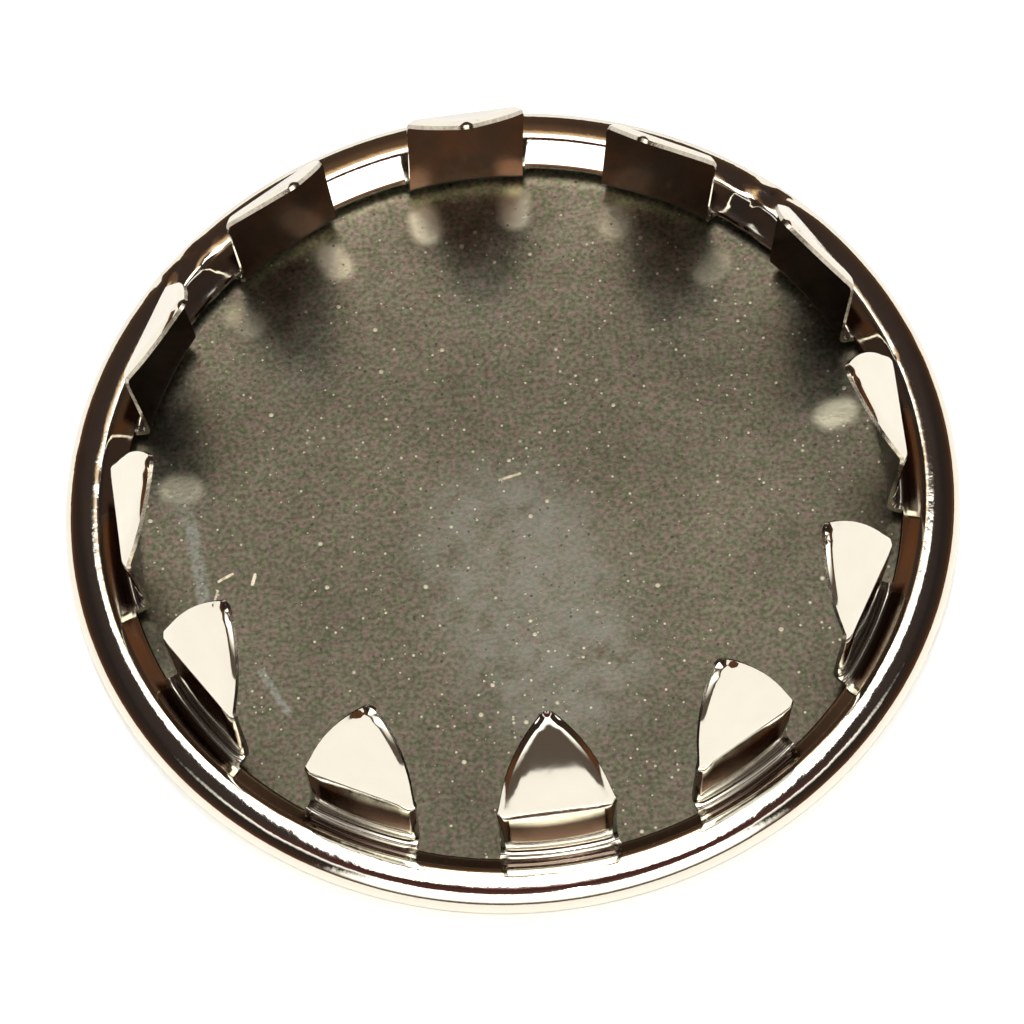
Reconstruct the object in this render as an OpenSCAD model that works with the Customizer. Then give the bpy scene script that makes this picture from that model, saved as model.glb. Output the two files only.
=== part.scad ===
// Snap-in hole plug, pressed from one piece of nickel-plated sheet steel.
// It lies on its front face: Z = 0 is the flat front, and the prongs point up.
// All lengths are in millimetres and all angles in degrees.

/* [Fit in the panel] */
// Diameter of the hole that the plug closes
hole_d = 38.1; // [30:0.1:90]
// Play between the hole and the neck of the prongs, on the diameter
neck_play = 0.9; // [0.3:0.05:1.2]
// How far the corners of each knee stand out past the edge of the hole
knee_catch = 0.15; // [0.1:0.05:0.8]

/* [Head] */
// How far the head reaches past the edge of the hole
rim_overlap = 2.6; // [2.1:0.1:6]
// Thickness of the sheet
sheet = 0.4; // [0.3:0.05:0.5]
// Outer radius of the roll along the rim
roll_r = 1; // [0.9:0.05:1.3]
// Height of the gap between the front sheet and the flange above it
flange_gap = 0.5; // [0.4:0.02:0.9]
// Width of the flange between the prongs that is left past the lowest point of the root bend
flange_lip = 0; // [0:0.05:0.3]
// Radius in the corners where the flange meets the sides of the prongs
corner_r = 0.4; // [0.1:0.05:0.8]

/* [Prongs] */
// Number of prongs
prongs = 12; // [4:1:14]
// Width of a prong between its straight sides
prong_w = 5.7; // [4:0.1:7]
// Inner radius of the bend at the root of a prong
root_bend_r = 0.3; // [0.2:0.05:0.5]
// Height of the knees above the front
knee_h = 6.3; // [5:0.1:12]
// Inner radius of the bend at the knee
knee_bend_r = 0.3; // [0.1:0.05:1]

/* [Tips] */
// Lean of the flat tips towards the middle of the plug, from upright
tip_lean = 25.5; // [10:0.5:50]
// Length of the flat tip past the knee's bend
tip_l = 5; // [3.5:0.1:7]
// Radius of the curved sides that narrow a prong to its tip
tip_side_r = 9.5; // [7:0.1:12]
// Radius of the blunt nose of a tip
tip_nose_r = 0.45; // [0.2:0.05:0.9]

/* [Hidden] */
$fn = 96;

// Steps in which a bend or a curved side turns
bend_steps = 10;
// Columns of facets across the blend from the round neck to the straight knee
blend_steps = 8;
// Rows of facets along the height of the blend
blend_rows = 4;
// Depth by which the blend's ends are tucked into the sheet that they join
tuck = 0.01;
// Length by which shapes reach into or past each other
reach = 1;

head_r = hole_d / 2 + rim_overlap;
neck_r = (hole_d - neck_play) / 2;

// Sections are drawn with the radius from the plug's axis across and the height up.
// The rim is rolled round one centre, and the root bend turns the sheet up round the other.
roll_c = [head_r - roll_r, roll_r];
root_out_r = root_bend_r + sheet;
root_c = [neck_r + root_bend_r, sheet + flange_gap + root_out_r];

// The flange is the straight sheet that touches both bends, one from above and one from below.
// This is the direction that its upper face looks in.
centres = root_c - roll_c;
flange_dir = atan2(centres[1], centres[0]) - acos((roll_r - sheet / 2 + root_out_r - sheet / 2) / norm(centres));

// Where the flange is cut off between the prongs
lip_r = root_c[0] + flange_lip;

// A prong's straight sides go over into curved sides without a corner, and these into the nose.
// A curved side's centre lies this far across the prong, and the curve begins this far below the tip.
side_c = prong_w / 2 - tip_side_r;
curve_start = sqrt(pow(tip_side_r - tip_nose_r, 2) - pow(side_c, 2)) - (tip_l - tip_nose_r);

// Half the width of a prong at a distance above the foot of its flat tip, which is negative below it
function half_w(s) = s < -curve_start ? prong_w / 2 : side_c + sqrt(pow(tip_side_r, 2) - pow(s + curve_start, 2));

// The knee is straight, and its corners are what catches behind the panel.
knee_w = 2 * half_w(0);
knee_x = sqrt(pow(hole_d / 2 + knee_catch, 2) - pow(knee_w / 2, 2));
knee_out_r = knee_bend_r + sheet;
knee_c = [knee_x - knee_out_r, knee_h];

// Outward lean of a prong between its root and its knee, at its middle
rise = knee_c - [neck_r, root_c[1]];
prong_lean = atan2(rise[0], rise[1]) + asin(knee_out_r / norm(rise));

// Straight length of the prong just under the knee's bend, and the length of the bend
knee_foot = 0.3;
knee_len = (knee_bend_r + sheet / 2) * (tip_lean + prong_lean) * PI / 180;

// Direction at an angle, as seen in a section
function towards(a) = [cos(a), sin(a)];

// Points along a bend round a centre, from one angle to another
function arc(centre, r, from, to) =
    [for (i = [0 : bend_steps]) centre + r * towards(from + (to - from) * i / bend_steps)];

// Distance from the axis to the outer face of a prong at a height, at its middle
function outer_face(z) = neck_r + (z - root_c[1]) * tan(prong_lean);

// Half the width of a prong at a height between its root and its knee
function body_half_w(z) = half_w(z - knee_h - knee_len);

// Section of the whole sheet from the middle of the front to the neck of the prongs:
// along the face that shows, and back along the face inside the roll
module head_section() {
    polygon(concat(
        [[0, 0]],
        arc(roll_c, roll_r, -90, flange_dir),
        arc(root_c, root_bend_r, flange_dir + 180, 180),
        arc(root_c, root_out_r, 180, flange_dir + 180),
        arc(roll_c, roll_r - sheet, flange_dir, -90),
        [[0, sheet]]
    ));
}

// Plan of what is cut away between the prongs
module gaps_plan() {
    corner_x = sqrt(pow(lip_r, 2) - pow(prong_w / 2, 2));
    difference() {
        circle(r = lip_r);
        circle(r = neck_r - sheet - reach);
        for (i = [0 : prongs - 1]) rotate(i * 360 / prongs) {
            translate([0, -prong_w / 2]) square([lip_r + reach, prong_w]);
            for (y = [-1, 1]) difference() {
                translate([corner_x, y * prong_w / 2]) square(2 * corner_r, center = true);
                translate([corner_x - corner_r, y * (prong_w / 2 + corner_r)]) circle(r = corner_r);
            }
        }
    }
}

// Front sheet, rolled rim, flange and the root bends of the prongs.
// The seam of the turned shape is set between two prongs.
module head() {
    difference() {
        rotate(180 / prongs) rotate_extrude() head_section();
        translate([0, 0, sheet + flange_gap / 2])
            linear_extrude(height = root_c[1] + reach) gaps_plan();
    }
}

// Part of a prong between root and knee, which goes over from the round neck to the straight knee
module blend() {
    n = blend_steps + 1;
    low = root_c[1] - root_bend_r / 4;
    high = knee_h - knee_foot / 2;
    high_out = outer_face(high) - tuck;
    high_in = outer_face(high) - sheet / cos(prong_lean) + tuck;
    // Row of points across the prong, at a share of the height, where a face goes from the
    // round r at the neck to the straight x at the knee
    function row(share, r, x) =
        let (z = low + (high - low) * share, half = body_half_w(z) - tuck)
        [for (i = [0 : blend_steps])
            let (y = (2 * i / blend_steps - 1) * half) [sqrt(r * r - y * y) * (1 - share) + x * share, y, z]];
    // The rows go up the inner face and down the outer one.
    points = concat(
        [for (k = [0 : blend_rows]) each row(k / blend_rows, neck_r - sheet + tuck, high_in)],
        [for (k = [0 : blend_rows]) each row(1 - k / blend_rows, neck_r - tuck, high_out)]
    );
    // Each row is joined to the next by a strip of triangles, and the last row to the first.
    count = 2 * (blend_rows + 1);
    strips = [for (k = [0 : count - 1], i = [0 : blend_steps - 1])
        let (a = k * n + i, b = (k + 1) % count * n + i) each [[a, a + 1, b], [a + 1, b + 1, b]]];
    // The sides are closed between the inner rows a and the outer rows b.
    sides = [for (k = [0 : blend_rows - 1])
        let (a = k * n, b = (count - 1 - k) * n, e = blend_steps) each [
            [b, a, b - n],
            [b - n, a, a + n],
            [b + e, b - n + e, a + e],
            [b - n + e, a + n + e, a + e]
        ]];
    polyhedron(points, concat(strips, sides));
}

// Outline of a flat tip, from its foot upwards: two curved sides and a blunt nose
module tip_outline() {
    nose = [0, tip_l - tip_nose_r];
    // Where the nose takes over from a side, as the direction from the nose's centre
    side_end = atan2(nose[1] + curve_start, -side_c);
    touch = nose[1] + tip_nose_r * sin(side_end);
    right = [for (i = [0 : bend_steps]) let (s = touch * i / bend_steps) [half_w(s), s]];
    left = [for (i = [bend_steps : -1 : 0]) [-right[i][0], right[i][1]]];
    cap = arc(nose, tip_nose_r, side_end, 180 - side_end);
    polygon(concat(right, [for (i = [1 : bend_steps - 1]) cap[i]], left));
}

// Outline of the knee, by width and height, which ends as wide as the tip begins
module knee_outline() {
    foot = knee_h - knee_foot;
    top = knee_h + knee_bend_r * sin(tip_lean);
    rows = [[body_half_w(foot), foot], [half_w(-knee_len), knee_h], [half_w(0), top], [half_w(0), top + reach]];
    polygon(concat(rows, [for (i = [len(rows) - 1 : -1 : 0]) [-rows[i][0], rows[i][1]]]));
}

// Top of a prong: a straight foot, the bend at the knee and the flat tip, cut to their outlines
module knee_and_tip() {
    foot = knee_h - knee_foot;
    back = sheet / cos(prong_lean);
    slope = [-sin(tip_lean), cos(tip_lean)];
    intersection() {
        rotate([90, 0, 0]) linear_extrude(height = 2 * prong_w, center = true) polygon(concat(
            [[outer_face(foot), foot]],
            arc(knee_c, knee_out_r, -prong_lean, tip_lean),
            arc(knee_c, knee_bend_r, tip_lean, -prong_lean),
            [[outer_face(foot) - back, foot]]
        ));
        translate([knee_c[0] - reach, 0, 0])
            rotate([90, 0, 90]) linear_extrude(height = knee_out_r + 2 * reach) knee_outline();
    }
    intersection() {
        rotate([90, 0, 0]) linear_extrude(height = 2 * prong_w, center = true) polygon([
            knee_c + knee_out_r * towards(tip_lean),
            knee_c + knee_out_r * towards(tip_lean) + (tip_l + reach) * slope,
            knee_c + knee_bend_r * towards(tip_lean) + (tip_l + reach) * slope,
            knee_c + knee_bend_r * towards(tip_lean)
        ]);
        translate([knee_c[0], 0, knee_c[1]])
            rotate([0, 90 - tip_lean, 0])
                rotate([0, 0, 90])
                    linear_extrude(height = knee_out_r + reach) tip_outline();
    }
}

// One prong, on the +X side of the plug
module prong() {
    blend();
    knee_and_tip();
}

// The whole plug is one piece of sheet.
module hole_plug() {
    color("silver") union() {
        head();
        for (i = [0 : prongs - 1]) rotate(i * 360 / prongs) prong();
    }
}

hole_plug();
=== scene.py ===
"""Builds the looks of a snap-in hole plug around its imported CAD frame.

The plug is one piece of nickel-plated sheet steel: a flat front, a rolled rim, a flange turned
back over the front, and twelve kneed prongs. All work is done in millimetres and scaled at the end.
"""

from math import acos, asin, atan2, cos, degrees, exp, pi, radians, sin, sqrt, tan, tau

import bmesh
import bpy
from bpy.props import FloatProperty, FloatVectorProperty, IntProperty, PointerProperty
from mathutils import Matrix, Vector, noise


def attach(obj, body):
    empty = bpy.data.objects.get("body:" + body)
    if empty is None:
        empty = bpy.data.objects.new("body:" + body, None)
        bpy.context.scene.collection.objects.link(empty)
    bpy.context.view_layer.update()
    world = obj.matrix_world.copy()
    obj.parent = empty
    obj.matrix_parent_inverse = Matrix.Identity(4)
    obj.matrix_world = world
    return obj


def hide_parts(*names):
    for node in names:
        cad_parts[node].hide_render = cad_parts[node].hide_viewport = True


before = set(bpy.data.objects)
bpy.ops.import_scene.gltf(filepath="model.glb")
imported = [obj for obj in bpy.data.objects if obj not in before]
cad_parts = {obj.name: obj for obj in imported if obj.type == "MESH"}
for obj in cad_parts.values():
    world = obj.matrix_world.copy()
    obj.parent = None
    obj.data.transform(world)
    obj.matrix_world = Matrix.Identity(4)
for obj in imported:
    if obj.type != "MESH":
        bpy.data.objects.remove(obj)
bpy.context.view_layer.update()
MM = 0.001

bl_info = {
    "name": "Snap-in hole plug",
    "version": (1, 0, 0),
    "blender": (4, 5, 0),
    "location": "View3D > Sidebar > Hole plug",
    "description": "Builds a pressed sheet-metal hole plug and the stage that it is shown on",
    "category": "Object",
}


def length(name, description, default):
    """A length in metres, given here in millimetres."""
    return FloatProperty(name=name, description=description, default=default * MM, min=0, subtype="DISTANCE",
                         unit="LENGTH")


def angle(name, description, default):
    """An angle, given here in degrees."""
    return FloatProperty(name=name, description=description, default=radians(default), subtype="ANGLE")


def colour(name, description, default):
    """A colour in linear values."""
    return FloatVectorProperty(name=name, description=description, default=default, size=3, min=0, max=1,
                               subtype="COLOR")


class PlugSizes(bpy.types.PropertyGroup):
    """Sizes of the plug, as in its solid model, and the finer shapes of its rim, knees and edges."""
    hole_d: length("Hole", "Diameter of the hole that the plug closes", 38.1)
    neck_play: length("Neck play", "Play between the hole and the neck of the prongs", 0.9)
    knee_catch: length("Knee catch", "How far the corners of a knee stand past the hole's edge", 0.15)
    rim_overlap: length("Rim overlap", "How far the head reaches past the edge of the hole", 2.6)
    sheet: length("Sheet", "Thickness of the sheet", 0.4)
    roll_r: length("Rim roll", "Outer radius of the roll along the rim", 1.0)
    crown_r: length("Rim crown", "Radius of the flattened top of the roll", 2.7)
    shoulder_r: length("Shoulder", "Radius from the flattened top over to the flange", 0.55)
    rim_swell: length("Rim swell", "How far the outer side of the roll bulges out", 0.1)
    rim_shift: length("Rim shift", "How far the rim sits off the crown of prongs, away from the camera", 0.1)
    flange_gap: length("Flange gap", "Height of the gap between the front sheet and the flange", 0.5)
    prong_w: length("Prong width", "Width of a prong between its straight sides", 5.7)
    root_bend_r: length("Root bend", "Inner radius of the bend at the root of a prong", 0.3)
    knee_h: length("Knee height", "Height of the knees above the front", 6.3)
    knee_bend_r: length("Knee bend", "Inner radius of the bend at the knee", 0.3)
    knee_bulge: length("Knee bulge", "How far the sides of a prong bulge out where it is bent", 0.09)
    tip_l: length("Tip length", "Length of the flat tip past the knee", 5.0)
    tip_side_r: length("Tip side", "Radius of the curved sides that narrow a prong", 9.5)
    tip_nose_r: length("Tip nose", "Radius of the blunt nose of a tip", 0.45)
    edge_w: length("Edge rounding", "Width over which the cut edges are rounded", 0.38)
    edge_h: length("Edge drop", "Depth to which the cut edges are rounded", 0.2)
    tip_lean: angle("Tip lean", "Lean of the tips towards the middle, from upright", 25.5)
    crown_turn: angle("Crown turn", "Angle that the flattened top of the roll spans", 16)
    prongs: IntProperty(name="Prongs", description="Number of prongs", default=12, min=4)


class PlugFinish(bpy.types.PropertyGroup):
    """Colours of the plug."""
    nickel: colour("Nickel", "Colour of the bright nickel plate", (0.81, 0.79, 0.71))
    worn: colour("Worn nickel", "Colour towards which the plate varies", (0.55, 0.47, 0.36))
    dust: colour("Dust", "Colour of the dust on the plate", (0.35, 0.31, 0.25))
    # Painted shade: dark brown of the flange at the foot of each prong
    painted_foot_shade: colour("Painted foot shade", "Colour of the flange at the foot of a prong", (0.10, 0.05, 0.035))
    dull: colour("Dull back", "Colour of the dull back of the front sheet", (0.165, 0.16, 0.128))
    cloud: colour("Cloud", "Colour of the paler cloud on the dull back", (0.27, 0.28, 0.25))
    # Painted light: colour of the pale pools that the prongs throw on the dull back
    spot: colour("Painted light spots", "Colour of the light painted between the prongs", (1.0, 0.96, 0.74))
    glint: colour("Bright specks", "Colour of the bright specks on the dull back", (0.62, 0.60, 0.46))
    pit: colour("Dark specks", "Colour of the dark specks on the dull back", (0.04, 0.038, 0.03))
    # Painted shade: the prong backs are coloured dark brown for the dark interior that they mirror
    back: colour("Prong back", "Colour of the back of the prongs", (0.07, 0.04, 0.03))
    back_red: colour("Redder back", "Colour towards which the prong backs vary", (0.13, 0.05, 0.026))
    back_dark: colour("Darker back", "Colour of the dark grain on the prong backs", (0.04, 0.03, 0.024))
    cut: colour("Cut edge", "Colour of the cut edges", (0.62, 0.58, 0.49))
    torn: colour("Torn edge", "Colour of the darker streaks on the cut edges", (0.42, 0.38, 0.31))


class StageSetup(bpy.types.PropertyGroup):
    """Camera, floor and lights."""
    elevation: angle("Camera elevation", "Height of the camera above the horizon", 62.69)
    azimuth: angle("Camera turn", "Turn of the camera round the plug, from its front", -2.12)
    roll: angle("Camera roll", "Turn of the picture about its middle", 5.64)
    distance: length("Camera distance", "Distance from the camera to the plug", 589)
    floor_r: length("Floor", "Radius of the floor", 600)
    floor: colour("Floor colour", "Colour of the floor", (0.90, 0.895, 0.885))


# Small differences between the prongs, one row for each, clockwise from the one nearest the camera:
# more outward lean of the whole prong and more inward lean of its tip, in degrees; the knee's and the
# nose's shift to one side, in mm; and the curl along the tip, in degrees.
HAND = (
    (-0.7, 6.3, 0.02, 0.07, 3.4),
    (-0.7, -3.8, 0.27, 0.00, 0.5),
    (-2.7, -4.3, -0.01, -0.07, 0.5),
    (0.6, -4.1, 0.27, -0.28, 0.5),
    (1.4, 1.4, 0.04, 0.07, 0.5),
    (-0.5, 2.5, 0.15, 0.23, 1.0),
    (1.4, 9.6, -0.27, 0.07, 1.0),
    (-1.1, 0.7, -0.33, -0.12, 1.0),
    (0.6, -3.4, -0.11, -0.13, 0.5),
    (1.2, 1.2, -0.04, 0.02, 0.5),
    (0.3, -0.6, -0.08, 0.14, 0.5),
    (0.1, -4.6, 0.02, 0.01, 0.5),
)

# Where the rolled rim is crumpled: azimuth and half the spread in degrees, and height in mm
CRUMPLES = (
    (45, 10, 0.14),
    (134, 9, 0.14),
    (-128, 16, 0.012),
    (-50, 20, 0.012),
    (15, 10, 0.02),
    (165, 10, 0.02),
)
RIPPLE = 0.003              # height of the slight ripple all round the rim, in mm
RIPPLE_SCALE = 1.6          # swells of the ripple and the crumples in a millimetre
SHIFT_SPAN = 1.5            # width over which the rim's shift off centre grows, in mm

BULGE_AT = -0.45            # middle of the bulge at a knee, in mm above the foot of the tip
BULGE_SPAN = 0.55           # how far the bulge reaches from there, in mm

COLUMNS_PER_PRONG = 30      # columns of faces round the head for each prong and its gap
SIDE_COLUMN = 9             # the corner at a prong's root begins this many columns from its middle
FRONT_RINGS = (0, 6, 12, 17, 19.6)      # radii of the rings of faces on the flat front, in mm
ROLL_ROWS = 20              # rows of faces along each part of the section
CROWN_ROWS = 4
SHOULDER_ROWS = 5
FLANGE_STOPS = (0.3, 0.6, 0.85, 1)      # rows down the flange, in shares of its width
LIP_ROWS = 2
ROOT_ROWS = 12
CORNER_ROWS = 8             # rows over which the corner at a root is rounded
BODY_ROWS = 12
BODY_CROWDING = 1.4         # how much the rows of a body crowd towards the knee
KNEE_ROWS = 8
TIP_ROWS = 14
NOSE_ROWS = 7
EDGE_POWER = 1.5            # how soon the rounding of an edge turns steep
EDGE_STEPS = (0.0, 0.08, 0.22, 0.45, 0.8)   # columns near a rounded edge, in shares of its width
SAME_PLACE = 1e-4           # vertices that lie nearer than this are one, in mm

BRIGHT, DULL_BACK, CUT_EDGE, PRONG_BACK = range(4)      # the plug's material numbers
CREASE = 38                 # an edge that turns more than this stays crisp, in degrees
LOOKS_IN = 0.8              # a prong's back looks inwards more than this, and the flange less


def towards(a):
    """Direction at an angle in degrees, as radius and height."""
    return Vector((cos(radians(a)), sin(radians(a))))


def arc(centre, r, start, end, steps):
    """Points along a bend, the first left out."""
    return [centre + r * towards(start + (end - start) * (i + 1) / steps) for i in range(steps)]


def smooth(t):
    """Goes from 0 to 1 with soft ends."""
    t = min(max(t, 0.0), 1.0)
    return t * t * (3 - 2 * t)


class Form:
    """The plug's derived measures in millimetres, for the face of the sheet in front and outside."""

    def __init__(self, sizes):
        for name in sizes.__annotations__:
            value = getattr(sizes, name)
            setattr(self, name, value if isinstance(value, int) else value / MM)
        self.tip_lean = degrees(sizes.tip_lean)
        self.crown_turn = degrees(sizes.crown_turn)
        head_r = self.hole_d / 2 + self.rim_overlap
        neck_r = (self.hole_d - self.neck_play) / 2
        self.roll_c = Vector((head_r - self.roll_r, self.roll_r))
        self.crown_c = self.roll_c + (self.roll_r - self.crown_r) * towards(90 - self.crown_turn)
        self.shoulder_c = self.crown_c + Vector((0, self.crown_r - self.shoulder_r))
        self.root_c = Vector((neck_r + self.root_bend_r, 2 * self.sheet + self.flange_gap + self.root_bend_r))
        # The flange is the straight sheet that touches the shoulder and the root bend.
        centres = self.root_c - self.shoulder_c
        reach = self.shoulder_r + self.root_bend_r
        self.flange_dir = degrees(atan2(centres.y, centres.x) - acos(reach / centres.length))
        # The sides of a prong go over from straight to curved this far below the foot of the tip.
        self.side_c = self.prong_w / 2 - self.tip_side_r
        self.nose = self.tip_l - self.tip_nose_r
        self.curve_start = sqrt((self.tip_side_r - self.tip_nose_r) ** 2 - self.side_c ** 2) - self.nose
        side_end = atan2(self.nose + self.curve_start, -self.side_c)
        self.touch = self.nose + self.tip_nose_r * sin(side_end)
        self.knee_out_r = self.knee_bend_r + self.sheet
        knee_x = sqrt((self.hole_d / 2 + self.knee_catch) ** 2 - self.half_width(0) ** 2)
        self.knee_c = Vector((knee_x - self.knee_out_r, self.knee_h))
        # The body of a prong is the straight sheet that touches the root bend and the knee bend.
        rise = self.knee_c - self.root_c
        both = self.root_bend_r + self.knee_out_r
        self.body_lean = degrees(atan2(rise.y, -rise.x) - acos(both / rise.length))

    def half_width(self, s):
        """Half the width of a prong at a distance above the foot of its tip, which is negative below it."""
        if s < -self.curve_start:
            return self.prong_w / 2
        if s <= self.touch:
            return self.side_c + sqrt(self.tip_side_r ** 2 - (s + self.curve_start) ** 2)
        return sqrt(max(0.0, self.tip_nose_r ** 2 - (s - self.nose) ** 2))

    def drop(self, gap):
        """How far the outer face is rounded off at a distance from a cut edge."""
        inside = max(0.0, 1 - gap / self.edge_w)
        return self.edge_h * inside ** EDGE_POWER

    def bulged(self, s):
        """Half the width of a prong with the bulge that the bend at the knee pushes out."""
        return self.half_width(s) + self.knee_bulge * exp(-(((s - BULGE_AT) / BULGE_SPAN) ** 2))

    def tip_gap(self, s, half, y):
        """Distance from a spot on the tip to the tip's edge."""
        to_nose = self.tip_nose_r - sqrt(y ** 2 + max(0, s - self.nose) ** 2)
        return max(0, half - abs(y) if s < self.nose else min(to_nose, self.tip_nose_r))


def head_rows(form):
    """Section of the head's outer face: from the middle of the front, round the rim to the flange's edge."""
    rows = [Vector((r, 0)) for r in FRONT_RINGS]
    rows.append(form.roll_c - Vector((0, form.roll_r)))
    rows += arc(form.roll_c, form.roll_r, -90, 90 - form.crown_turn, ROLL_ROWS)
    rows += arc(form.crown_c, form.crown_r, 90 - form.crown_turn, 90, CROWN_ROWS)
    rows += arc(form.shoulder_c, form.shoulder_r, 90, form.flange_dir, SHOULDER_ROWS)
    start = rows[-1]
    end = form.root_c + form.root_bend_r * towards(form.flange_dir + 180)
    rows += [start.lerp(end, share) for share in FLANGE_STOPS]
    rows += arc(form.root_c, form.root_bend_r, form.flange_dir + 180, 270, LIP_ROWS)
    return rows


def shift_rim(bm, form):
    """Swells the outer side of the roll and sets the rim a little off centre."""
    for v in bm.verts:
        out = v.co.xy.length
        if out > form.root_c.x:
            v.co.xy *= 1 + form.rim_swell / out * smooth((out - form.roll_c.x) / form.roll_r)
            v.co.y += form.rim_shift * smooth((out - form.root_c.x) / SHIFT_SPAN)


def crumple(bm, form):
    """Crumples the top of the rim, as a worn tool leaves it when it closes the roll."""
    for v in bm.verts:
        if v.co.z < form.roll_r:
            continue
        azimuth = degrees(atan2(v.co.y, v.co.x))
        height = RIPPLE
        for place, spread, most in CRUMPLES:
            off = (azimuth - place + 180) % 360 - 180
            height += most * smooth(1 - abs(off) / spread)
        height *= smooth((v.co.z - form.roll_r) / form.roll_r * 2)
        v.co.z += height * noise.noise(v.co * RIPPLE_SCALE)


def grow(bm, rail, spots):
    """Extrudes an open row of vertices and moves the new row to its spots."""
    edges = [bm.edges.get(pair) for pair in zip(rail, rail[1:])]
    made = bmesh.ops.extrude_edge_only(bm, edges=edges)["geom"]
    fresh = {v for v in made if isinstance(v, bmesh.types.BMVert)}
    row = []
    for v in rail:
        row.append(next(e.other_vert(v) for e in v.link_edges if e.other_vert(v) in fresh))
    for v, spot in zip(row, spots):
        v.co = spot
    return row


class Prong:
    """Grows one prong from the edge of the flange and keeps how far its edges are rounded off."""

    def __init__(self, bm, form, lip, number, drops):
        self.bm, self.form, self.drops = bm, form, drops
        self.more_body, self.more_tip, self.aside, self.sway, self.curl = HAND[number % len(HAND)]
        azimuth = -90 - 360 / form.prongs * number
        self.turn = Matrix.Rotation(radians(azimuth), 3, "Z")
        columns = COLUMNS_PER_PRONG * form.prongs
        middle = round(azimuth / 360 * columns)
        self.rail = [lip[(middle + k) % columns] for k in range(-SIDE_COLUMN, SIDE_COLUMN + 1)]

    def shares(self, half, gather):
        """Places of the columns across half a prong, from the middle out; gather crowds them to the edge."""
        width = min(self.form.edge_w, half / 2)
        close = [1 - step * width / half if half > 0 else 0 for step in EDGE_STEPS[::-1]]
        inner = SIDE_COLUMN - len(close) + 1
        crowded = [close[0] * k / inner for k in range(inner)] + close
        even = [k / SIDE_COLUMN for k in range(SIDE_COLUMN + 1)]
        right = [e + (c - e) * gather for e, c in zip(even, crowded)]
        return [-share for share in right[:0:-1]] + right

    def row(self, middle, half, straight, gather, aside, rounding, nose_gap=None):
        """Adds a row. Straight is 0 where the sheet still follows the round neck and 1 where it is flat."""
        spots, gaps = [], []
        for share in self.shares(half, gather):
            y = share * half
            sag = middle.x - sqrt(middle.x ** 2 - y ** 2)
            spots.append(self.turn @ Vector((middle.x - (1 - straight) * sag, y + aside, middle.y)))
            gaps.append(half - abs(y) if nose_gap is None else nose_gap(y))
        self.rail = grow(self.bm, self.rail, spots)
        for v, gap in zip(self.rail, gaps):
            self.drops[v] = rounding * self.form.drop(gap)

    def grow(self):
        """Grows the root bend, the body, the knee and the tip, one on from the other."""
        form = self.form
        body_lean = form.body_lean + self.more_body
        tip_lean = form.tip_lean - self.more_body + self.more_tip
        swing = Matrix.Rotation(radians(-self.more_body), 2)
        knee_c = form.root_c + swing @ (form.knee_c - form.root_c)
        knee_len = (form.knee_out_r - form.sheet / 2) * radians(tip_lean + body_lean)
        root_end = self.grow_root(body_lean)
        self.grow_body(root_end, knee_c + form.knee_out_r * towards(-body_lean), knee_len)
        knee = arc(knee_c, form.knee_out_r, -body_lean, tip_lean, KNEE_ROWS)
        for k, middle in enumerate(knee, 1):
            self.row(middle, form.bulged(-knee_len * (1 - k / KNEE_ROWS)), 1, 1, self.aside, 1)
        self.grow_tip(knee[-1], tip_lean)

    def grow_root(self, body_lean):
        """Root bend, with the rounded corners at both sides; gives the place where it ends."""
        form = self.form
        to_side = radians(360 / form.prongs / COLUMNS_PER_PRONG * SIDE_COLUMN)
        corner = self.rail[-1].co.xy.length * sin(to_side) - form.prong_w / 2
        bend = arc(form.root_c, form.root_bend_r, 270, 180 - body_lean, ROOT_ROWS)
        for k, middle in enumerate(bend, 1):
            far = corner * max(0, 1 - k / CORNER_ROWS)
            half = form.prong_w / 2 + corner - sqrt(corner ** 2 - far ** 2)
            self.row(middle, half, 0, smooth(k / ROOT_ROWS), 0, smooth(k / ROOT_ROWS))
        return bend[-1]

    def grow_body(self, start, end, knee_len):
        """Body, from the round neck to the straight knee."""
        for k in range(1, BODY_ROWS + 1):
            t = 1 - (1 - k / BODY_ROWS) ** BODY_CROWDING
            s = -knee_len - (end - start).length * (1 - t)
            self.row(start.lerp(end, t), self.form.bulged(s), smooth(t), 1, self.aside * t, 1)

    def grow_tip(self, middle, tip_lean):
        """Tip, with its rows crowded towards the nose."""
        form = self.form
        stops = [form.touch * sin(pi / 2 * k / TIP_ROWS) for k in range(1, TIP_ROWS + 1)]
        first = asin((form.touch - form.nose) / form.tip_nose_r)
        for k in range(1, NOSE_ROWS + 1):
            stops.append(form.nose + form.tip_nose_r * sin(first + (pi / 2 - first) * k / NOSE_ROWS))
        spent = 0.0
        for s in stops:
            lean = radians(tip_lean + self.curl * (2 * spent / form.tip_l - 1))
            middle = middle + (s - spent) * Vector((-sin(lean), cos(lean)))
            spent = s
            half = form.bulged(s)
            aside = self.aside + self.sway * (s / form.tip_l) ** 2
            self.row(middle, half, 1, 1, aside, 1, lambda y: form.tip_gap(s, half, y))


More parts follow.
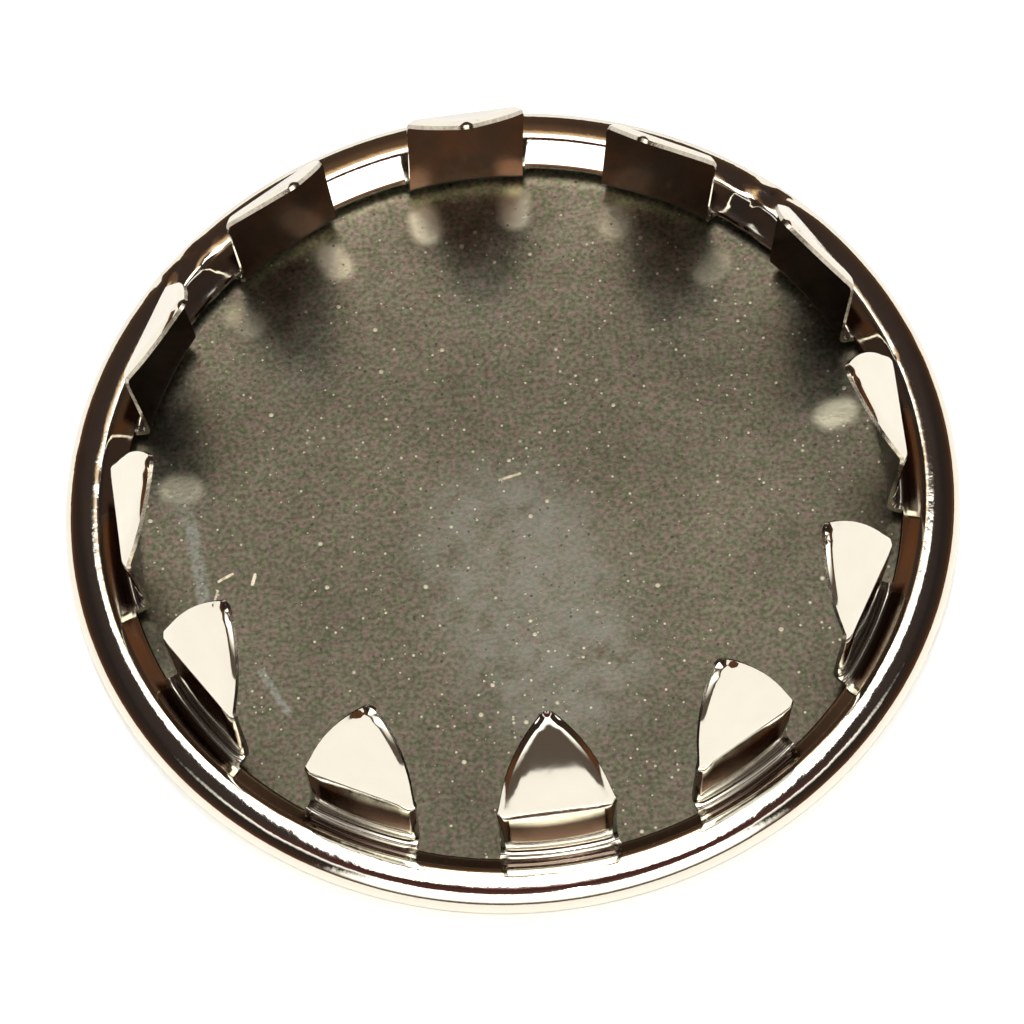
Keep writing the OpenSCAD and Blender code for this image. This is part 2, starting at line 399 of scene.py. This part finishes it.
def build_sheet(form):
    """The whole plug as one closed sheet, in millimetres, with its material numbers."""
    bm = bmesh.new()
    columns = COLUMNS_PER_PRONG * form.prongs
    verts = [bm.verts.new((p.x, 0, p.y)) for p in head_rows(form)]
    edges = [bm.edges.new(pair) for pair in zip(verts, verts[1:])]
    bmesh.ops.spin(bm, geom=verts + edges, cent=(0, 0, 0), axis=(0, 0, 1), angle=tau, steps=columns,
                   use_merge=True)
    bmesh.ops.remove_doubles(bm, verts=bm.verts, dist=SAME_PLACE)
    lip = {}
    for v in bm.verts:
        if v.is_boundary:
            lip[round(atan2(v.co.y, v.co.x) / tau * columns) % columns] = v
    drops = {}
    for number in range(form.prongs):
        Prong(bm, form, lip, number, drops).grow()
    for v in lip.values():
        if v.is_boundary:
            drops[v] = form.edge_h / 2
    shift_rim(bm, form)
    crumple(bm, form)
    bmesh.ops.remove_doubles(bm, verts=bm.verts, dist=SAME_PLACE)

    # The face in front and outside looks away from the sheet, and the wall grows behind it.
    bmesh.ops.recalc_face_normals(bm, faces=bm.faces)
    bm.normal_update()
    centre = min(bm.faces, key=lambda f: f.calc_center_median().length)
    if centre.normal.z > 0:
        bmesh.ops.reverse_faces(bm, faces=bm.faces)
    bm.normal_update()
    rounded = {}
    for v, drop in drops.items():
        if v.is_valid and drop > SAME_PLACE:
            rounded[tuple(round(c, 4) for c in v.co)] = v.normal * drop
    bmesh.ops.solidify(bm, geom=bm.faces[:], thickness=form.sheet)

    # Only the outer face is rounded off towards the cut edges.
    for v in bm.verts:
        v.co -= rounded.get(tuple(round(c, 4) for c in v.co), Vector((0, 0, 0)))
    bm.normal_update()
    return bm


def finish_sheet(bm, form):
    """Gives the faces their materials, keeps the edges crisp and scales the sheet to metres."""
    for edge in bm.edges:
        if len(edge.link_faces) == 2 and edge.calc_face_angle() > radians(CREASE):
            edge.smooth = False
    for face in bm.faces:
        face.smooth = True
        face.material_index = BRIGHT
        middle = face.calc_center_median()
        inward = -face.normal.xy.dot(middle.xy.normalized())
        if middle.z > form.root_c.y - form.sheet and inward > LOOKS_IN:
            face.material_index = PRONG_BACK
        if sum(not e.smooth for e in face.edges) >= 2:
            face.material_index = CUT_EDGE
        if abs(face.normal.z) > 0.999 and abs(middle.z - form.sheet) < form.sheet / 10:
            face.material_index = DULL_BACK
    bmesh.ops.scale(bm, vec=(MM, MM, MM), verts=bm.verts)


class NodeBench:
    """Adds nodes to a tree and links them."""

    def __init__(self, tree):
        self.tree = tree
        tree.nodes.clear()

    def add(self, kind, inputs=(), **settings):
        node = self.tree.nodes.new(kind)
        for name, value in settings.items():
            setattr(node, name, value)
        for name, value in dict(inputs).items():
            if isinstance(value, bpy.types.NodeSocket):
                self.tree.links.new(value, node.inputs[name])
            else:
                node.inputs[name].default_value = value
        return node

    def math(self, operation, a, b=0.0, c=0.0, clamp=False):
        return self.add("ShaderNodeMath", {0: a, 1: b, 2: c}, operation=operation, use_clamp=clamp).outputs[0]

    def product(self, first, *others):
        for other in others:
            first = self.math("MULTIPLY", first, other)
        return first

    def step(self, value, at, slope):
        """Rises from 0 at a value to 1 beyond it, or falls to 0 at it where the slope is negative."""
        return self.math("MULTIPLY_ADD", value, slope, -slope * at, clamp=True)

    def ramp(self, value, stops):
        node = self.add("ShaderNodeValToRGB", {"Fac": value})
        elements = node.color_ramp.elements
        while len(elements) < len(stops):
            elements.new(0.5)
        for element, (at, shade) in zip(elements, stops):
            element.position = at
            element.color = (shade, shade, shade, 1) if isinstance(shade, (int, float)) else (*shade, 1)
        return node.outputs["Color"]

    def blend(self, factor, a, b, mode="MIX"):
        inputs = {0: factor}
        for key, value in ((6, a), (7, b)):
            inputs[key] = value if isinstance(value, bpy.types.NodeSocket) else (*value, 1)
        return self.add("ShaderNodeMix", inputs, data_type="RGBA", blend_type=mode).outputs[2]

    def group(self, tree, **inputs):
        node = self.add("ShaderNodeGroup", node_tree=tree)
        for name, value in inputs.items():
            socket = node.inputs[name]
            if isinstance(value, bpy.types.NodeSocket):
                self.tree.links.new(value, socket)
            else:
                socket.default_value = value
        return node.outputs

    def millimetres(self):
        """Place on the object in millimetres."""
        place = self.add("ShaderNodeTexCoord").outputs["Object"]
        return self.add("ShaderNodeVectorMath", {0: place, "Scale": 1 / MM}, operation="SCALE").outputs[0]


def new_group(name, inputs, outputs):
    """A node group with its bench, the outputs of its input node, and its output node."""
    tree = bpy.data.node_groups.new(name, "ShaderNodeTree")
    for socket, kind in inputs.items():
        tree.interface.new_socket(name=socket, in_out="INPUT", socket_type=kind)
    for socket, kind in outputs.items():
        tree.interface.new_socket(name=socket, in_out="OUTPUT", socket_type=kind)
    bench = NodeBench(tree)
    return tree, bench, bench.add("NodeGroupInput").outputs, bench.add("NodeGroupOutput")


def grain_group():
    """Fine unevenness: a noise of a given size in mm, as a mask from 0 to 1."""
    tree, bench, given, result = new_group(
        "grain", {"Place": "NodeSocketVector", "Size": "NodeSocketFloat", "Contrast": "NodeSocketFloat"},
        {"Mask": "NodeSocketFloat"})
    scale = bench.math("DIVIDE", 1.0, given["Size"])
    field = bench.add("ShaderNodeTexNoise", {"Vector": given["Place"], "Scale": scale, "Detail": 3.0})
    centred = bench.math("SUBTRACT", field.outputs["Fac"], 0.5)
    mask = bench.math("MULTIPLY_ADD", centred, given["Contrast"], 0.5, clamp=True)
    tree.links.new(mask, result.inputs["Mask"])
    return tree


def specks_group():
    """Small round specks in a share of the cells of a given size in mm."""
    tree, bench, given, result = new_group(
        "specks", {"Place": "NodeSocketVector", "Cell": "NodeSocketFloat", "Radius": "NodeSocketFloat",
                   "Share": "NodeSocketFloat"}, {"Mask": "NodeSocketFloat"})
    scale = bench.math("DIVIDE", 1.0, given["Cell"])
    cells = bench.add("ShaderNodeTexVoronoi", {"Vector": given["Place"], "Scale": scale}, feature="F1")
    lot = bench.add("ShaderNodeSeparateColor", {"Color": cells.outputs["Color"]}).outputs
    size = bench.math("MULTIPLY", given["Radius"], bench.math("MULTIPLY_ADD", lot["Green"], 0.8, 0.5))
    off = bench.math("MULTIPLY", cells.outputs["Distance"], given["Cell"])
    dot = bench.math("SUBTRACT", 1.0, bench.math("DIVIDE", off, size), clamp=True)
    dot = bench.math("MULTIPLY", dot, 2.5, clamp=True)
    chosen = bench.math("LESS_THAN", lot["Red"], given["Share"])
    tree.links.new(bench.math("MULTIPLY", dot, chosen), result.inputs["Mask"])
    return tree


def stroke_group():
    """A straight soft stroke from one place to another, seen from above."""
    tree, bench, given, result = new_group(
        "stroke", {"Place": "NodeSocketVector", "Start": "NodeSocketVector", "End": "NodeSocketVector",
                   "Width": "NodeSocketFloat"}, {"Mask": "NodeSocketFloat"})

    def vector(operation, a, b, output=0):
        return bench.add("ShaderNodeVectorMath", {0: a, 1: b}, operation=operation).outputs[output]

    along = vector("SUBTRACT", given["End"], given["Start"])
    off = vector("MULTIPLY", vector("SUBTRACT", given["Place"], given["Start"]), (1, 1, 0))
    share = bench.math("DIVIDE", vector("DOT_PRODUCT", off, along, "Value"),
                       vector("DOT_PRODUCT", along, along, "Value"), clamp=True)
    nearest = bench.add("ShaderNodeVectorMath", {0: along, "Scale": share}, operation="SCALE").outputs[0]
    gap = vector("DISTANCE", off, nearest, "Value")
    mask = bench.math("SUBTRACT", 1.0, bench.math("DIVIDE", gap, given["Width"]), clamp=True)
    mask = bench.math("SMOOTH_MIN", bench.math("MULTIPLY", mask, 2.0), 1.0, 0.2)
    tree.links.new(mask, result.inputs["Mask"])
    return tree


# Marks on the dull back: start, end, width in mm, colour and strength
MARKS = (
    ((-15.9, 3.2, 0), (-15.6, 1.4, 0), 0.55, (0.30, 0.31, 0.27), 0.30),
    ((-15.6, 1.4, 0), (-15.4, -2.6, 0), 0.40, (0.30, 0.34, 0.32), 0.40),
    ((-13.1, -6.7, 0), (-12.1, -9.0, 0), 0.25, (0.30, 0.33, 0.31), 0.45),
    ((-14.6, -1.5, 0), (-13.9, -1.2, 0), 0.09, (0.75, 0.70, 0.52), 0.90),
    ((-13.0, -1.9, 0), (-12.8, -1.4, 0), 0.10, (0.85, 0.80, 0.65), 0.90),
    ((-14.9, -2.5, 0), (-14.7, -2.0, 0), 0.07, (0.75, 0.70, 0.55), 0.80),
    ((-0.4, 2.0, 0), (0.6, 2.2, 0), 0.09, (0.60, 0.56, 0.42), 0.80),
)

# Painted light: pale pools that the prongs throw on the dull back between their feet, from left to right:
# place in mm and strength
PAINTED_LIGHT_SPOTS = (
    ((-16.2, 3.9, 0), 0.40),
    ((-11.9, 12.8, 0), 0.30),
    ((-7.1, 15.5, 0), 0.55),
    ((-2.3, 16.9, 0), 1.0),
    ((2.2, 17.1, 0), 1.0),
    ((7.2, 15.7, 0), 0.30),
    ((11.6, 12.4, 0), 0.25),
    ((16.6, 3.3, 0), 0.55),
)
PAINTED_LIGHT_SPOT_W = 1.05               # half the width of a spot, in mm

# Paler cloud on the dull back: start, end and width in mm
CLOUD = ((-0.5, -1.5, 0), (1.2, -8.0, 0), 6.0)

# Painted light on the dull back: its brightness along Y, from minus to plus the half width below, in mm,
# paler at the far side where light falls in between the far prongs
PAINTED_FALL_HALF = 20
PAINTED_FALL = ((0.05, 0.72), (0.3, 0.86), (0.5, 0.90), (0.68, 0.86), (0.84, 1.25), (0.95, 1.6))

SPECK_SHARE = 0.24          # share of the cells of the dull back that hold a bright speck

# Where bright specks crowd on the dull back: place and radius in mm
CROWDS = (
    ((-13.7, 5.9, 0), 0.9),
    ((-10.6, 13.2, 0), 1.6),
    ((-12.3, 11.5, 0), 1.2),
    ((0.5, 13.5, 0), 3.5),
    ((-1.0, -9.5, 0), 5.0),
)
CROWD_SHARE = 0.22          # by how much the share of specks is raised there


def new_material(name):
    """A material with its bench."""
    material = bpy.data.materials.new(name)
    material.use_nodes = True
    return material, NodeBench(material.node_tree)


def surface(bench, **inputs):
    """The Principled shader of a metal, joined to the output."""
    values = {name.replace("_", " "): value for name, value in inputs.items()}
    shader = bench.add("ShaderNodeBsdfPrincipled", {"Metallic": 1.0, **values})
    bench.add("ShaderNodeOutputMaterial", {"Surface": shader.outputs["BSDF"]})


def nickel_material(finish, prongs, grain, specks):
    """Bright nickel plate: a mirror with a slight unevenness, crimped along the rim, with painted shade at
    the foot of each prong.
    """
    material, bench = new_material("bright_nickel")
    place = bench.millimetres()
    parts = bench.add("ShaderNodeSeparateXYZ", {"Vector": place}).outputs
    broad = bench.group(grain, Place=place, Size=2.6, Contrast=1.0)["Mask"]
    fine = bench.group(grain, Place=place, Size=0.32, Contrast=1.0)["Mask"]
    flat = bench.add("ShaderNodeVectorMath", {0: place, 1: (1, 1, 0)}, operation="MULTIPLY").outputs[0]
    r = bench.add("ShaderNodeVectorMath", {0: flat}, operation="LENGTH").outputs["Value"]
    z = parts["Z"]
    # The crimping lies on the outer and upper side of the roll.
    rim = bench.product(bench.step(r, 19.6, 4.0), bench.step(z, 1.3, 2.0), bench.step(z, 2.3, -4.0))
    height = bench.math("MULTIPLY_ADD", broad, 9.0, bench.product(fine, rim, 5.0))
    bump = bench.add("ShaderNodeBump", {"Strength": 1.0, "Distance": 1e-6, "Height": height})
    dust = bench.group(specks, Place=place, Cell=0.9, Radius=0.05, Share=0.10)["Mask"]
    tone = bench.group(grain, Place=place, Size=1.3, Contrast=2.0)["Mask"]
    base = bench.blend(bench.math("MULTIPLY", tone, 0.12), finish.nickel, finish.worn)
    base = bench.blend(bench.math("MULTIPLY", dust, 0.5), base, finish.dust)
    # The plate is duller in the tight bend at the root of a prong.
    low = bench.step(z, 2.4, -2.5)
    tight = bench.product(low, bench.step(r, 19.35, -5.0))
    rough = bench.math("MULTIPLY_ADD", tight, 0.09, bench.math("MULTIPLY_ADD", tone, 0.03, 0.045))
    # Painted shade: the flange is coloured dark brown at the foot of each prong.
    azimuth = bench.math("ARCTAN2", parts["Y"], parts["X"])
    share = bench.math("FRACT", bench.math("MULTIPLY_ADD", azimuth, prongs / tau, prongs + 0.5))
    off = bench.math("ABSOLUTE", bench.math("SUBTRACT", share, 0.5))
    flange = bench.product(bench.step(r, 18.92, 8.0), bench.step(r, 19.72, -6.0), low)
    foot = bench.product(bench.step(off, 0.295, -25.0), flange)
    base = bench.blend(bench.math("MULTIPLY", foot, 0.95), base, finish.painted_foot_shade)
    surface(bench, Base_Color=base, Roughness=rough, Normal=bump.outputs["Normal"])
    return material


def dull_material(finish, grain, specks, stroke):
    """Dull back of the front sheet: grey-olive and grainy, with bright specks, a pale cloud, scratches,
    painted spots of light between the prongs and a painted paler far side.
    """
    material, bench = new_material("dull_back")
    place = bench.millimetres()
    fine = bench.group(grain, Place=place, Size=0.22, Contrast=3.0)["Mask"]
    mottle = bench.group(grain, Place=place, Size=1.1, Contrast=2.0)["Mask"]
    drift = bench.group(grain, Place=place, Size=7.0, Contrast=2.0)["Mask"]
    tint = bench.blend(fine, (0.62, 0.68, 0.56), (1.34, 1.24, 1.26))
    base = bench.blend(1.0, finish.dull, tint, "MULTIPLY")
    shade = bench.ramp(bench.math("MULTIPLY_ADD", drift, 0.5, bench.math("MULTIPLY", mottle, 0.5)),
                       [(0.2, 0.78), (0.8, 1.25)])
    base = bench.blend(1.0, base, shade, "MULTIPLY")
    # Painted light: the back is darker towards the camera and paler at the far side, where light falls in
    # between the far prongs.
    depth = bench.add("ShaderNodeSeparateXYZ", {"Vector": place}).outputs["Y"]
    painted_fall = bench.ramp(bench.math("MULTIPLY_ADD", depth, 1 / (2 * PAINTED_FALL_HALF), 0.5), PAINTED_FALL)
    base = bench.blend(1.0, base, painted_fall, "MULTIPLY")
    hue = bench.ramp(bench.group(grain, Place=place, Size=0.45, Contrast=3.0)["Mask"],
                     [(0.15, (0.93, 1.03, 0.92)), (0.5, (1.0, 1.0, 1.0)), (0.85, (1.10, 0.96, 1.04))])
    speckle = bench.blend(1.0, base, hue, "MULTIPLY")

    start, end, width = CLOUD
    cloud = bench.group(stroke, Place=place, Start=start, End=end, Width=width)["Mask"]
    cloud = bench.product(bench.math("POWER", cloud, 1.5), mottle, 0.75)
    colour_now = bench.blend(cloud, speckle, finish.cloud)

    # Painted light: pale spots of thrown light between the feet of the far prongs
    for centre, strength in PAINTED_LIGHT_SPOTS:
        end = (centre[0] * 0.96, centre[1] * 0.96, 0)
        spot = bench.group(stroke, Place=place, Start=centre, End=end, Width=PAINTED_LIGHT_SPOT_W)["Mask"]
        spot = bench.math("MULTIPLY", spot, bench.math("MULTIPLY_ADD", mottle, 0.5, 0.7), clamp=True)
        spot = bench.math("MULTIPLY", bench.math("POWER", spot, 1.6), strength)
        colour_now = bench.blend(spot, colour_now, finish.spot)

    crowd = SPECK_SHARE
    for centre, radius in CROWDS:
        end = (centre[0] + 0.1, centre[1], 0)
        near = bench.group(stroke, Place=place, Start=centre, End=end, Width=radius)
        crowd = bench.math("MULTIPLY_ADD", near["Mask"], CROWD_SHARE, crowd)
    small = bench.group(specks, Place=place, Cell=0.36, Radius=0.075, Share=crowd)["Mask"]
    large = bench.group(specks, Place=place, Cell=0.8, Radius=0.12, Share=crowd)["Mask"]
    bright = bench.math("MAXIMUM", small, large)
    shifted = bench.add("ShaderNodeVectorMath", {0: place, 1: (3.7, 1.9, 0.3)}, operation="ADD").outputs[0]
    dark = bench.group(specks, Place=shifted, Cell=0.36, Radius=0.08, Share=0.22)["Mask"]
    colour_now = bench.blend(bench.math("MULTIPLY", dark, 0.65), colour_now, finish.pit)
    colour_now = bench.blend(bench.math("MULTIPLY", bright, 0.8), colour_now, finish.glint)
    for start, end, width, tone, strength in MARKS:
        mark = bench.group(stroke, Place=place, Start=start, End=end, Width=width)["Mask"]
        broken = bench.product(mark, bench.math("MULTIPLY_ADD", fine, strength, strength / 2))
        colour_now = bench.blend(broken, colour_now, tone)

    grit = bench.math("MULTIPLY_ADD", bright, 1.5, fine)
    bump = bench.add("ShaderNodeBump", {"Strength": 1.0, "Distance": 2.5e-6, "Height": grit})
    rough = bench.math("MULTIPLY_ADD", mottle, 0.08, 0.29)
    surface(bench, Base_Color=colour_now, Roughness=rough, Normal=bump.outputs["Normal"])
    return material


def cut_material(finish, grain):
    """Cut edges of the sheet, torn grey where the punch broke through."""
    material, bench = new_material("cut_edge")
    place = bench.millimetres()
    streak = bench.group(grain, Place=place, Size=0.22, Contrast=2.0)["Mask"]
    base = bench.blend(streak, finish.cut, finish.torn)
    bump = bench.add("ShaderNodeBump", {"Strength": 1.0, "Distance": 6e-6, "Height": streak})
    rough = bench.math("MULTIPLY_ADD", streak, 0.15, 0.15)
    surface(bench, Base_Color=base, Roughness=rough, Normal=bump.outputs["Normal"])
    return material


def painted_shade_back_material(finish, grain):
    """Back of the sheet on the prongs: smoother than on the front sheet, and painted dark brown for the shade
    that it mirrors.
    """
    material, bench = new_material("prong_back")
    place = bench.millimetres()
    fine = bench.group(grain, Place=place, Size=0.5, Contrast=1.6)["Mask"]
    broad = bench.group(grain, Place=place, Size=2.4, Contrast=2.4)["Mask"]
    base = bench.blend(broad, finish.back, finish.back_red)
    base = bench.blend(bench.math("MULTIPLY", fine, 0.3), base, finish.back_dark)
    bump = bench.add("ShaderNodeBump", {"Strength": 1.0, "Distance": 3e-6, "Height": fine})
    rough = bench.math("MULTIPLY_ADD", broad, 0.08, 0.14)
    surface(bench, Base_Color=base, Roughness=rough, Normal=bump.outputs["Normal"])
    return material


class HOLEPLUG_OT_plug(bpy.types.Operator):
    """Build the plug in place of its plain solid"""
    bl_idname = "holeplug.plug"
    bl_label = "Build the plug"

    def execute(self, context):
        form = Form(context.scene.plug_sizes)
        finish = context.scene.plug_finish
        bm = build_sheet(form)
        finish_sheet(bm, form)
        mesh = bpy.data.meshes.new("plug")
        bm.to_mesh(mesh)
        bm.free()
        grain, specks, stroke = grain_group(), specks_group(), stroke_group()
        mesh.materials.append(nickel_material(finish, form.prongs, grain, specks))
        mesh.materials.append(dull_material(finish, grain, specks, stroke))
        mesh.materials.append(cut_material(finish, grain))
        mesh.materials.append(painted_shade_back_material(finish, grain))
        plug = bpy.data.objects.new("plug", mesh)
        context.scene.collection.objects.link(plug)
        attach(plug, "root")
        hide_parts("hole_plug")
        return {"FINISHED"}


IMAGE_PX = 1024
SENSOR_MM = 36.0
PX_PER_MM = 20.552          # scale of the picture at the middle of the front
MIDDLE_PX = (513.3, 518.7)  # where the middle of the front lies in the picture


def add_camera(scene, stage):
    """A camera that looks at the plug as the photograph does."""
    back = Vector((0, -cos(stage.elevation), sin(stage.elevation)))
    back.rotate(Matrix.Rotation(stage.azimuth, 3, "Z"))
    level = Vector((0, 0, 1)).cross(back).normalized()
    upright = back.cross(level)
    right = cos(stage.roll) * level - sin(stage.roll) * upright
    up = sin(stage.roll) * level + cos(stage.roll) * upright
    aim = (IMAGE_PX / 2 - MIDDLE_PX[0]) * right + (MIDDLE_PX[1] - IMAGE_PX / 2) * up
    data = bpy.data.cameras.new("camera")
    data.sensor_width = SENSOR_MM
    data.lens = SENSOR_MM * PX_PER_MM * stage.distance / MM / IMAGE_PX
    data.clip_start = 0.01
    data.clip_end = 20
    camera = bpy.data.objects.new("camera", data)
    turn = Matrix((right, up, back)).transposed().to_4x4()
    camera.matrix_world = Matrix.Translation(aim * MM / PX_PER_MM + back * stage.distance) @ turn
    scene.collection.objects.link(camera)
    scene.camera = camera


def aimed_light(scene, name, place, size, power, tint):
    """A flat lamp that shines on the plug and doesn't show in the picture."""
    data = bpy.data.lights.new(name, "AREA")
    data.shape = "RECTANGLE"
    data.size, data.size_y = size
    data.energy = power
    data.color = tint
    lamp = bpy.data.objects.new(name, data)
    spot = Vector(place)
    lamp.matrix_world = Matrix.Translation(spot) @ spot.to_track_quat("Z", "Y").to_matrix().to_4x4()
    lamp.visible_camera = False
    scene.collection.objects.link(lamp)
    return lamp


FLOOR_LIFT = 0.33           # how much more light the camera sees from the floor


def floor_material(stage):
    """Plain pale floor that still takes the plug's shadow."""
    material, bench = new_material("pale_floor")
    shader = bench.add("ShaderNodeBsdfPrincipled", {
        "Base Color": (*stage.floor, 1), "Roughness": 0.9, "Specular IOR Level": 0.0,
    })
    # The camera sees the floor a little lighter than the plug does, so that it comes out plain white.
    seen = bench.add("ShaderNodeLightPath").outputs["Is Camera Ray"]
    strength = bench.math("MULTIPLY", seen, FLOOR_LIFT)
    lift = bench.add("ShaderNodeEmission", {"Color": (1, 1, 1, 1), "Strength": strength})
    both = bench.add("ShaderNodeAddShader", {0: shader.outputs["BSDF"], 1: lift.outputs["Emission"]})
    bench.add("ShaderNodeOutputMaterial", {"Surface": both.outputs["Shader"]})
    return material


# The room that the bright plate mirrors: elevation in degrees and colour. It is pale low on the camera's
# side and dark behind the camera.
ROOM_NEAR = (
    (-8, (0.10, 0.08, 0.06)),
    (9, (0.12, 0.09, 0.07)),
    (14, (0.95, 0.90, 0.80)),
    (24, (2.9, 2.8, 2.6)),
    (58, (3.0, 2.9, 2.7)),
    (61, (0.10, 0.035, 0.03)),
    (81, (0.06, 0.022, 0.02)),
    (86, (0.60, 0.36, 0.34)),
)
# It is dim beyond the plug, but for a strip straight beyond it that glows tan.
ROOM_FAR = (
    (-8, (0.05, 0.035, 0.03)),
    (6, (0.09, 0.05, 0.03)),
    (24, (0.055, 0.032, 0.022)),
    (44, (0.045, 0.03, 0.024)),
    (60, (0.05, 0.035, 0.03)),
    (80, (0.04, 0.03, 0.028)),
)
ROOM_STRIP = (
    (34, (0.07, 0.04, 0.025)),
    (52, (0.16, 0.09, 0.05)),
    (58, (0.80, 0.50, 0.27)),
    (63, (1.2, 0.95, 0.70)),
)
# It is dim with an orange tint to the sides.
ROOM_SIDES = (
    (-5, (0.04, 0.03, 0.025)),
    (7, (0.13, 0.05, 0.02)),
    (18, (0.045, 0.026, 0.018)),
    (50, (0.025, 0.019, 0.017)),
    (70, (0.04, 0.03, 0.028)),
)
STRIP_TURN = 6              # half the width of the strip, in degrees
SIDES_TURN = 36             # the sides begin this far from straight ahead or straight back, in degrees


def room_material():
    """Light from all round, by its direction from the plug."""
    material, bench = new_material("room")
    place = bench.add("ShaderNodeTexCoord").outputs["Object"]
    way = bench.add("ShaderNodeVectorMath", {0: place}, operation="NORMALIZE").outputs[0]
    parts = bench.add("ShaderNodeSeparateXYZ", {"Vector": way}).outputs
    elevation = bench.math("MULTIPLY_ADD", bench.math("ARCSINE", parts["Z"]), 1 / pi, 0.5)

    def shades(table):
        return bench.ramp(elevation, [(0.5 + degree / 180, shade) for degree, shade in table])

    near, strip, far, sides = (shades(table) for table in (ROOM_NEAR, ROOM_STRIP, ROOM_FAR, ROOM_SIDES))
    turned = bench.math("ARCTAN2", bench.math("ABSOLUTE", parts["X"]), bench.math("ABSOLUTE", parts["Y"]))
    off_strip = bench.step(turned, radians(STRIP_TURN), 8.0)
    beyond = bench.step(parts["Y"], -1 / 16, 8.0)
    # There are no sides near the zenith.
    aside = bench.product(bench.step(turned, radians(SIDES_TURN), 5.0), bench.step(parts["Z"], 0.93, -6.0))
    shade = bench.blend(beyond, near, bench.blend(off_strip, strip, far))
    shade = bench.blend(aside, shade, sides)
    glow = bench.add("ShaderNodeEmission", {"Color": shade, "Strength": 1.0})
    bench.add("ShaderNodeOutputMaterial", {"Surface": glow.outputs["Emission"]})
    return material


def stage_piece(scene, name, bm, material):
    """An object of the stage from a mesh in the making."""
    mesh = bpy.data.meshes.new(name)
    bm.to_mesh(mesh)
    bm.free()
    mesh.materials.append(material)
    piece = bpy.data.objects.new(name, mesh)
    scene.collection.objects.link(piece)
    return piece


WARM = (1.0, 0.98, 0.94)    # colour of the lamps
FLOOR_DROP = 0.02 * MM      # the floor lies this far below the plug, so that their faces don't coincide
ROOM_R = 2.0                # radius of the room, in metres
PANEL_H = 0.9               # height of the overhead light panel above the plug, in metres
PANEL_NEAR = 85             # the panel spans from this elevation on the camera's side
PANEL_FAR = 64.5            # to this elevation beyond the plug
PANEL_SIDE = 14             # and this far from overhead to each side, in degrees


class HOLEPLUG_OT_stage(bpy.types.Operator):
    """Set up the camera, the pale floor and the studio light"""
    bl_idname = "holeplug.stage"
    bl_label = "Set up the stage"

    def execute(self, context):
        scene = context.scene
        stage = scene.plug_stage
        add_camera(scene, stage)

        bm = bmesh.new()
        bmesh.ops.create_circle(bm, cap_ends=True, segments=96, radius=stage.floor_r)
        bmesh.ops.translate(bm, vec=(0, 0, -FLOOR_DROP), verts=bm.verts)
        floor = stage_piece(scene, "floor", bm, floor_material(stage))

        bm = bmesh.new()
        bmesh.ops.create_uvsphere(bm, u_segments=64, v_segments=32, radius=ROOM_R)
        bmesh.ops.reverse_faces(bm, faces=bm.faces)
        room = stage_piece(scene, "room", bm, room_material())
        room.visible_camera = False

        near, far = -PANEL_H / tan(radians(PANEL_NEAR)), PANEL_H / tan(radians(PANEL_FAR))
        size = (2 * PANEL_H * tan(radians(PANEL_SIDE)), far - near)
        aimed_light(scene, "softbox", (0.02, (near + far) / 2, PANEL_H), size, 1.7, WARM)
        fill = aimed_light(scene, "fill", (0.0, 0.22, 1.27), (0.35, 0.35), 9.5, WARM)
        fill.visible_glossy = False
        aimed_light(scene, "flash", (0.02, -0.24, 0.44), (0.012, 0.012), 0.10, WARM)

        world = bpy.data.worlds.new("pale_world")
        world.use_nodes = True
        bench = NodeBench(world.node_tree)
        sky = bench.add("ShaderNodeBackground", {"Color": (1, 1, 1, 1), "Strength": 1.0})
        bench.add("ShaderNodeOutputWorld", {"Surface": sky.outputs["Background"]})
        scene.world = world
        scene.view_settings.view_transform = "Standard"
        return {"FINISHED"}


class HOLEPLUG_PT_panel(bpy.types.Panel):
    """The plug's sizes and finish, and the buttons that build it"""
    bl_idname = "HOLEPLUG_PT_panel"
    bl_label = "Hole plug"
    bl_space_type = "VIEW_3D"
    bl_region_type = "UI"
    bl_category = "Hole plug"

    def draw(self, context):
        for group in (context.scene.plug_sizes, context.scene.plug_finish, context.scene.plug_stage):
            box = self.layout.box()
            for name in group.__annotations__:
                box.prop(group, name)
        for operator in OPERATORS:
            self.layout.operator(operator.bl_idname)


OPERATORS = (HOLEPLUG_OT_plug, HOLEPLUG_OT_stage)
CLASSES = (PlugSizes, PlugFinish, StageSetup, *OPERATORS, HOLEPLUG_PT_panel)


def register():
    for cls in CLASSES:
        bpy.utils.register_class(cls)
    bpy.types.Scene.plug_sizes = PointerProperty(type=PlugSizes)
    bpy.types.Scene.plug_finish = PointerProperty(type=PlugFinish)
    bpy.types.Scene.plug_stage = PointerProperty(type=StageSetup)


def unregister():
    del bpy.types.Scene.plug_stage
    del bpy.types.Scene.plug_finish
    del bpy.types.Scene.plug_sizes
    for cls in reversed(CLASSES):
        bpy.utils.unregister_class(cls)


def main():
    register()
    bpy.ops.holeplug.plug()
    bpy.ops.holeplug.stage()


if __name__ == "__main__":
    main()
